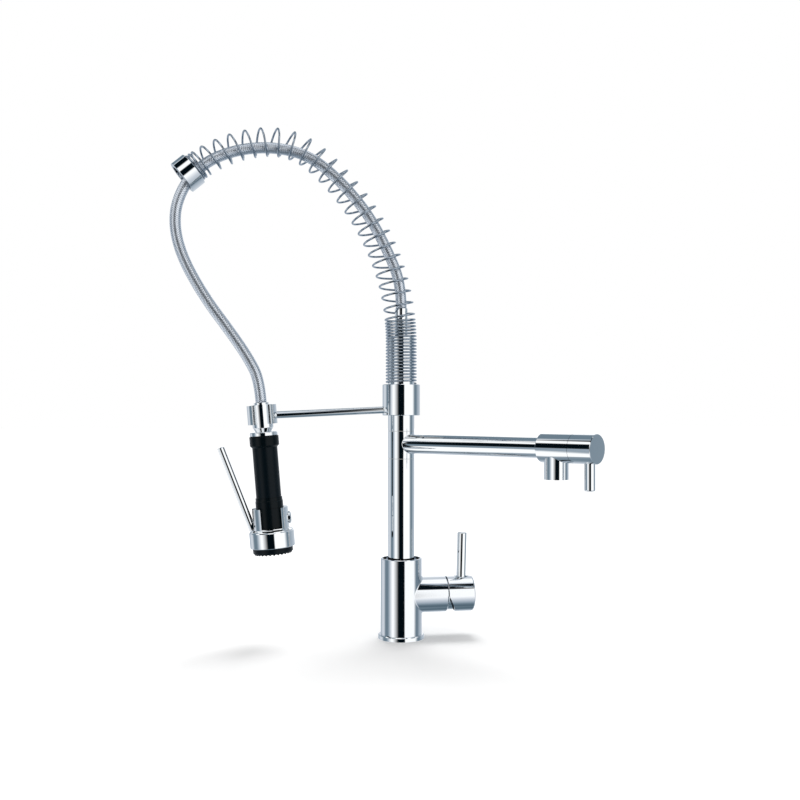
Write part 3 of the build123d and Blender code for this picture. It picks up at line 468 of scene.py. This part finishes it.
def braidedHose():
    # silver braid under a clear sleeve: crossing strands that glitter, darker between them by painted shade,
    # with a smooth shine on top
    material, tree = newTree("silverBraidUnderClearPvc")
    place = addNode(tree, "ShaderNodeTexCoord")
    axes = addNode(tree, "ShaderNodeSeparateXYZ", links={"Vector": place.outputs["UV"]})
    turned = addNode(tree, "ShaderNodeMath", {1: hose["strandsAround"] / 2}, {0: axes.outputs["X"]},
                     operation="MULTIPLY")
    risen = addNode(tree, "ShaderNodeMath", {1: 1 / hose["strandRise"]}, {0: axes.outputs["Y"]},
                    operation="MULTIPLY")
    heights = []
    counts = []
    for way in ("ADD", "SUBTRACT"):
        line = addNode(tree, "ShaderNodeMath", None, {0: turned.outputs[0], 1: risen.outputs[0]},
                       operation=way)
        wave = addNode(tree, "ShaderNodeMath", {1: math.pi}, {0: line.outputs[0]}, operation="MULTIPLY")
        swing = addNode(tree, "ShaderNodeMath", None, {0: wave.outputs[0]}, operation="SINE")
        heights.append(addNode(tree, "ShaderNodeMath", None, {0: swing.outputs[0]}, operation="ABSOLUTE"))
        counts.append(addNode(tree, "ShaderNodeMath", None, {0: line.outputs[0]}, operation="FLOOR"))
    cell = addNode(tree, "ShaderNodeMath", None, {0: counts[0].outputs[0], 1: counts[1].outputs[0]},
                   operation="ADD")
    over = addNode(tree, "ShaderNodeMath", {1: 2.0}, {0: cell.outputs[0]}, operation="PINGPONG")
    half = addNode(tree, "ShaderNodeMath", {1: 0.5}, {0: over.outputs[0]}, operation="MULTIPLY")
    weave = addNode(tree, "ShaderNodeMix", None, {
        "Factor": half.outputs[0], "A": heights[0].outputs[0], "B": heights[1].outputs[0]})
    # the weave's height turns the painted shade between the strands into the strands' own colour on top
    colour = addNode(tree, "ShaderNodeValToRGB", None, {"Fac": weave.outputs["Result"]})
    for element, tone, height in zip(colour.color_ramp.elements, ("paintedShadeGap", "crown"), braid["spread"]):
        element.color = hexColour(braid[tone])
        element.position = height
    bump = addNode(tree, "ShaderNodeBump",
                   {"Strength": braid["reliefStrength"], "Distance": braid["relief"]},
                   {"Height": weave.outputs["Result"]})
    shader = addNode(tree, "ShaderNodeBsdfPrincipled", {
        "Metallic": braid["metal"], "Roughness": braid["roughness"],
        "Coat Weight": braid["sleeve"], "Coat Roughness": braid["sleeveRoughness"],
    }, {"Base Color": colour.outputs["Color"], "Normal": bump.outputs["Normal"]})
    finishTree(tree, shader)
    return material


moulding = {"grainStrength": 0.25, "roughnessSpread": 0.05}


def mouldedPolymer(name, colour, roughness, grain, depth, shine=0.5):
    # injection-moulded: even colour, satin, with the fine grain of the tool
    material, tree = newTree(name)
    place = addNode(tree, "ShaderNodeTexCoord")
    texture = addNode(tree, "ShaderNodeTexNoise", {"Scale": 1 / grain, "Detail": 4.0, "Roughness": 0.6},
                      {"Vector": place.outputs["Object"]})
    bump = addNode(tree, "ShaderNodeBump", {"Strength": moulding["grainStrength"], "Distance": depth},
                   {"Height": texture.outputs["Fac"]})
    smooth = roughness - moulding["roughnessSpread"]
    rough = roughness + moulding["roughnessSpread"]
    gloss = addNode(tree, "ShaderNodeMapRange",
                    {**noiseRange, "To Min": smooth, "To Max": rough},
                    {"Value": texture.outputs["Fac"]})
    shader = addNode(tree, "ShaderNodeBsdfPrincipled",
                     {"Base Color": hexColour(colour), "Specular IOR Level": shine},
                     {"Roughness": gloss.outputs["Result"], "Normal": bump.outputs["Normal"]})
    finishTree(tree, shader)
    return material


brass = {"colour": "#c9a866", "roughness": (0.22, 0.34), "toolMarks": 1.111 * mm}


def machinedBrass():
    # free-cutting brass, machined: warm, with faint tool marks
    material, tree = newTree("machinedBrass")
    place = addNode(tree, "ShaderNodeTexCoord")
    marks = addNode(tree, "ShaderNodeTexNoise", {"Scale": 1 / brass["toolMarks"], "Detail": 3.0},
                    {"Vector": place.outputs["Object"]})
    smooth, rough = brass["roughness"]
    roughness = addNode(tree, "ShaderNodeMapRange",
                        {**noiseRange, "To Min": smooth, "To Max": rough},
                        {"Value": marks.outputs["Fac"]})
    shader = addNode(tree, "ShaderNodeBsdfPrincipled",
                     {"Base Color": hexColour(brass["colour"]), "Metallic": 1.0},
                     {"Roughness": roughness.outputs["Result"]})
    finishTree(tree, shader)
    return material


# mouldings: name, colour, roughness, size and depth of the grain, and the shine of the duller skins
finishes = {
    "chrome": polishedChrome(),
    "brushed_steel": drawnWire(),
    "brass": machinedBrass(),
    "braided_hose": braidedHose(),
    # the valves' discs, lapped: dense, pale, smooth
    "ceramic": mouldedPolymer("lappedAlumina", "#efeee8", 0.25, 0.15 * mm, 0.01 * mm),
    # cartridge, bushes, washers and aerator insert: milky, satin
    "white_plastic": mouldedPolymer("mouldedAcetal", "#e8e8e4", 0.42, 0.3 * mm, 0.02 * mm),
    # the grip's rings and core, and the valve block: blue-black, with a clean highlight
    "black_plastic": mouldedPolymer("mouldedBlackAbs", "#040f14", 0.24, 0.35 * mm, 0.02 * mm, 0.12),
    # the grip's sleeve and the spray face with its nubs: as dark, a little softer
    "grip_rubber": mouldedPolymer("mouldedGripRubber", "#051219", 0.3, 0.4 * mm, 0.03 * mm, 0.12),
    # the drilled plate above the spray face
    "nozzle_plate": mouldedPolymer("mouldedNozzlePlate", "#071217", 0.3, 0.3 * mm, 0.02 * mm, 0.15),
    # deck seal and O-rings: dull black
    "seal_rubber": mouldedPolymer("nitrileSeal", "#15181a", 0.5, 0.3 * mm, 0.02 * mm),
}
turned = {
    "base_body": turnedChrome("turnedChromeBody", "branch"),
    "mixer_knob": turnedChrome("turnedChromeKnob", "X"),
}


def wear(piece, material):
    piece.data.materials.clear()
    piece.data.materials.append(material)


for row in frame["record"]["subparts"]:
    node = nodes[row["node"]]
    finish = turned.get(row["node"], finishes[row["material_slot"]])
    for slot in node.material_slots:
        slot.material = finish
wear(hoseInSpring, finishes["braided_hose"])
wear(hoseFree, finishes["braided_hose"])
wear(springPiece, finishes["brushed_steel"])
print("materials on", len(nodes), "nodes")


# studio: white floor, one soft lamp, and the tent of white boxes and black flags that the chrome mirrors

studio = {
    "floorSize": 12.0,           # metres from its middle to its edge
    "floorColour": "#fbfbfb",
    "floorGlow": (0.09, 0.50),   # added for the eye alone, near the base and far, so that all is white,
    "glowReach": (0.06, 0.55),   # with the distances from the base between which it grows
    "fill": 0.64,                # the sky's light on matt surfaces
    "mirrorWhite": 1.25,         # how bright the tent's white is in a mirror
    "edge": 3.0,                 # degrees of soft edge at every box and flag
}
lamp = {"place": (0.08, 0.30, 0.95), "aim": (0, 0, 0.25), "size": 0.35, "watts": 4.0}

tones = {
    "white": "#ffffff",
    "pale": "#ccd1d8",
    "mid": "#a0abb6",
    "slate": "#6c7d89",
    "deep": "#4f616d",
    "black": "#010a10",
}

# the walls round the horizon, by azimuth from the camera's side, positive to the right
horizon = (
    (-180, "pale"), (-150, "mid"), (-126, "pale"), (-112, "pale"), (-98, "slate"), (-80, "slate"),
    (-70, "mid"), (-50, "white"), (-44, "white"), (-16, "black"), (17.5, "black"), (21.5, "white"),
    (73, "white"), (90, "slate"), (104, "slate"), (122, "mid"), (180, "pale"))

# the table below, from straight down to the horizon, with painted shade: darker towards straight down, where
# the floor lies in the object's shade
ground = (
    (-90, "mid"), (-80, "slate"), (-72, "deep"), (-60, "slate"), (-47, "mid"), (-30, "pale"), (-12, "white"))

# boxes and flags in the order in which they hang, the nearest last
tent = (
    {"azimuth": (-60, 7), "height": (28, 90), "tone": "white"},        # sheet above the camera
    {"azimuth": (7, 60), "height": (37, 90), "tone": "pale"},          # sheet above it, at the right
    {"azimuth": (-190, -112), "height": (24, 66), "tone": "slate"},    # far wall, upper left
    {"azimuth": (-114, -66), "height": (26, 52), "tone": "white"},     # box over the flag at the left
    {"azimuth": (60, 165), "height": (62, 90), "tone": "white"},       # box overhead, at the right
    {"azimuth": (-118, -76), "height": (-50, -16), "tone": "white"},   # low box at the left
    {"azimuth": (-86, -69), "height": (1, 32), "tone": "black"},       # flag at the left
    {"azimuth": (-100, -27), "height": (47, 64), "tone": "black"},     # flag above the left box
    {"azimuth": (16, 72), "height": (35, 67), "tone": "black"},        # flag above the right box
    {"azimuth": (165, 190), "height": (12, 32), "tone": "white"},      # strip behind, at the right
)


def layFloor():
    shape = bmesh.new()
    bmesh.ops.create_grid(shape, x_segments=1, y_segments=1, size=studio["floorSize"])
    mesh = bpy.data.meshes.new("studioFloor")
    shape.to_mesh(mesh)
    shape.free()
    floor = bpy.data.objects.new("studioFloor", mesh)
    bpy.context.collection.objects.link(floor)
    material, tree = newTree("paperSweep")
    ray = addNode(tree, "ShaderNodeLightPath")
    paper = addNode(tree, "ShaderNodeBsdfDiffuse", {"Color": hexColour(studio["floorColour"])})
    seen = addNode(tree, "ShaderNodeMath", None,
                   {0: ray.outputs["Is Camera Ray"], 1: ray.outputs["Is Glossy Ray"]}, operation="ADD")
    seenToo = addNode(tree, "ShaderNodeMath", None,
                      {0: seen.outputs[0], 1: ray.outputs["Is Transmission Ray"]}, operation="ADD")
    place = addNode(tree, "ShaderNodeTexCoord")
    away = addNode(tree, "ShaderNodeVectorMath", None, {0: place.outputs["Object"]}, operation="LENGTH")
    glowAt = addNode(tree, "ShaderNodeMapRange", {
        "From Min": studio["glowReach"][0], "From Max": studio["glowReach"][1],
        "To Min": studio["floorGlow"][0], "To Max": studio["floorGlow"][1]}, {"Value": away.outputs["Value"]})
    level = addNode(tree, "ShaderNodeMath", None, {0: seenToo.outputs[0], 1: glowAt.outputs["Result"]},
                    operation="MULTIPLY")
    glow = addNode(tree, "ShaderNodeEmission", None, {"Strength": level.outputs[0]})
    both = addNode(tree, "ShaderNodeAddShader", None, {0: paper.outputs[0], 1: glow.outputs[0]})
    finishTree(tree, both)
    mesh.materials.append(material)
    floor.visible_glossy = False   # the chrome mirrors the tent, whose low cards and painted shade of the table stand before the floor


def hangLamp():
    data = bpy.data.lights.new("softLamp", "AREA")
    data.shape = "SQUARE"
    data.size = lamp["size"]
    data.energy = lamp["watts"]
    light = bpy.data.objects.new("softLamp", data)
    light.location = lamp["place"]
    aim = Vector(lamp["aim"]) - Vector(lamp["place"])
    light.rotation_euler = aim.to_track_quat("-Z", "Y").to_euler()
    light.visible_glossy = False
    bpy.context.collection.objects.link(light)


def toneRamp(tree, value, low, high, stops):
    # a colour for each angle between low and high degrees
    share = addNode(tree, "ShaderNodeMapRange", {"From Min": low, "From Max": high}, {"Value": value})
    ramp = addNode(tree, "ShaderNodeValToRGB", None, {"Fac": share.outputs[0]})
    elements = ramp.color_ramp.elements
    elements[0].position = 0.0
    elements[0].color = hexColour(tones[stops[0][1]])
    elements[1].position = (stops[-1][0] - low) / (high - low)
    elements[1].color = hexColour(tones[stops[-1][1]])
    for angle, tone in stops[1:-1]:
        elements.new((angle - low) / (high - low)).color = hexColour(tones[tone])
    return ramp.outputs["Color"]


def between(tree, value, span):
    # 1 where the angle lies in the span, with soft edges
    edge = studio["edge"]
    rise = addNode(tree, "ShaderNodeMapRange", {"From Min": span[0] - edge, "From Max": span[0] + edge},
                   {"Value": value}, interpolation_type="SMOOTHSTEP")
    fall = addNode(tree, "ShaderNodeMapRange",
                   {"From Min": span[1] - edge, "From Max": span[1] + edge, "To Min": 1.0, "To Max": 0.0},
                   {"Value": value}, interpolation_type="SMOOTHSTEP")
    return addNode(tree, "ShaderNodeMath", None, {0: rise.outputs[0], 1: fall.outputs[0]},
                   operation="MULTIPLY").outputs[0]


def lightTent():
    world = bpy.data.worlds.new("lightTent")
    bpy.context.scene.world = world
    world.use_nodes = True
    tree = world.node_tree
    tree.nodes.clear()
    way = addNode(tree, "ShaderNodeTexCoord").outputs["Generated"]
    turn = math.radians(camera["azimuth"])
    forward = addNode(tree, "ShaderNodeVectorMath", {1: (math.sin(turn), -math.cos(turn), 0)}, {0: way},
                      operation="DOT_PRODUCT").outputs["Value"]
    aside = addNode(tree, "ShaderNodeVectorMath", {1: (math.cos(turn), math.sin(turn), 0)}, {0: way},
                    operation="DOT_PRODUCT").outputs["Value"]
    rise = addNode(tree, "ShaderNodeSeparateXYZ", links={"Vector": way}).outputs["Z"]
    angles = []
    for operation, inputs in (("ARCTAN2", {0: aside, 1: forward}), ("ARCSINE", {0: rise})):
        angle = addNode(tree, "ShaderNodeMath", None, inputs, operation=operation)
        angles.append(addNode(tree, "ShaderNodeMath", None, {0: angle.outputs[0]},
                              operation="DEGREES").outputs[0])
    azimuth, height = angles

    # in a mix of colours, input 0 is the factor, 6 and 7 are the two colours, and output 2 is the mix
    mirrored = addNode(tree, "ShaderNodeMix", {"Factor": 1.0}, {
        6: toneRamp(tree, azimuth, -180, 180, horizon), 7: toneRamp(tree, height, -90, 0, ground),
    }, data_type="RGBA", blend_type="DARKEN").outputs[2]
    for panel in tent:
        across = between(tree, azimuth, panel["azimuth"])
        upright = between(tree, height, panel["height"])
        shown = addNode(tree, "ShaderNodeMath", None, {0: across, 1: upright}, operation="MULTIPLY")
        mirrored = addNode(tree, "ShaderNodeMix", {7: hexColour(tones[panel["tone"]])}, {
            0: shown.outputs[0], 6: mirrored}, data_type="RGBA").outputs[2]

    ray = addNode(tree, "ShaderNodeLightPath")
    seen = addNode(tree, "ShaderNodeMath", None, {
        0: ray.outputs["Is Camera Ray"], 1: ray.outputs["Is Transmission Ray"]},
        operation="ADD", use_clamp=True)
    tentLight = addNode(tree, "ShaderNodeBackground", {"Strength": studio["mirrorWhite"]},
                        {"Color": mirrored})
    fill = addNode(tree, "ShaderNodeBackground", {"Color": (1, 1, 1, 1), "Strength": studio["fill"]})
    backdrop = addNode(tree, "ShaderNodeBackground", {"Color": (1, 1, 1, 1), "Strength": 1.0})
    mirrorOrFill = addNode(tree, "ShaderNodeMixShader", None, {
        0: ray.outputs["Is Glossy Ray"], 1: fill.outputs[0], 2: tentLight.outputs[0]})
    everything = addNode(tree, "ShaderNodeMixShader", None, {
        0: seen.outputs[0], 1: mirrorOrFill.outputs[0], 2: backdrop.outputs[0]})
    output = addNode(tree, "ShaderNodeOutputWorld")
    tree.links.new(everything.outputs[0], output.inputs["Surface"])


layFloor()
hangLamp()
lightTent()
bpy.context.scene.view_settings.view_transform = "Standard"
print("studio lit")
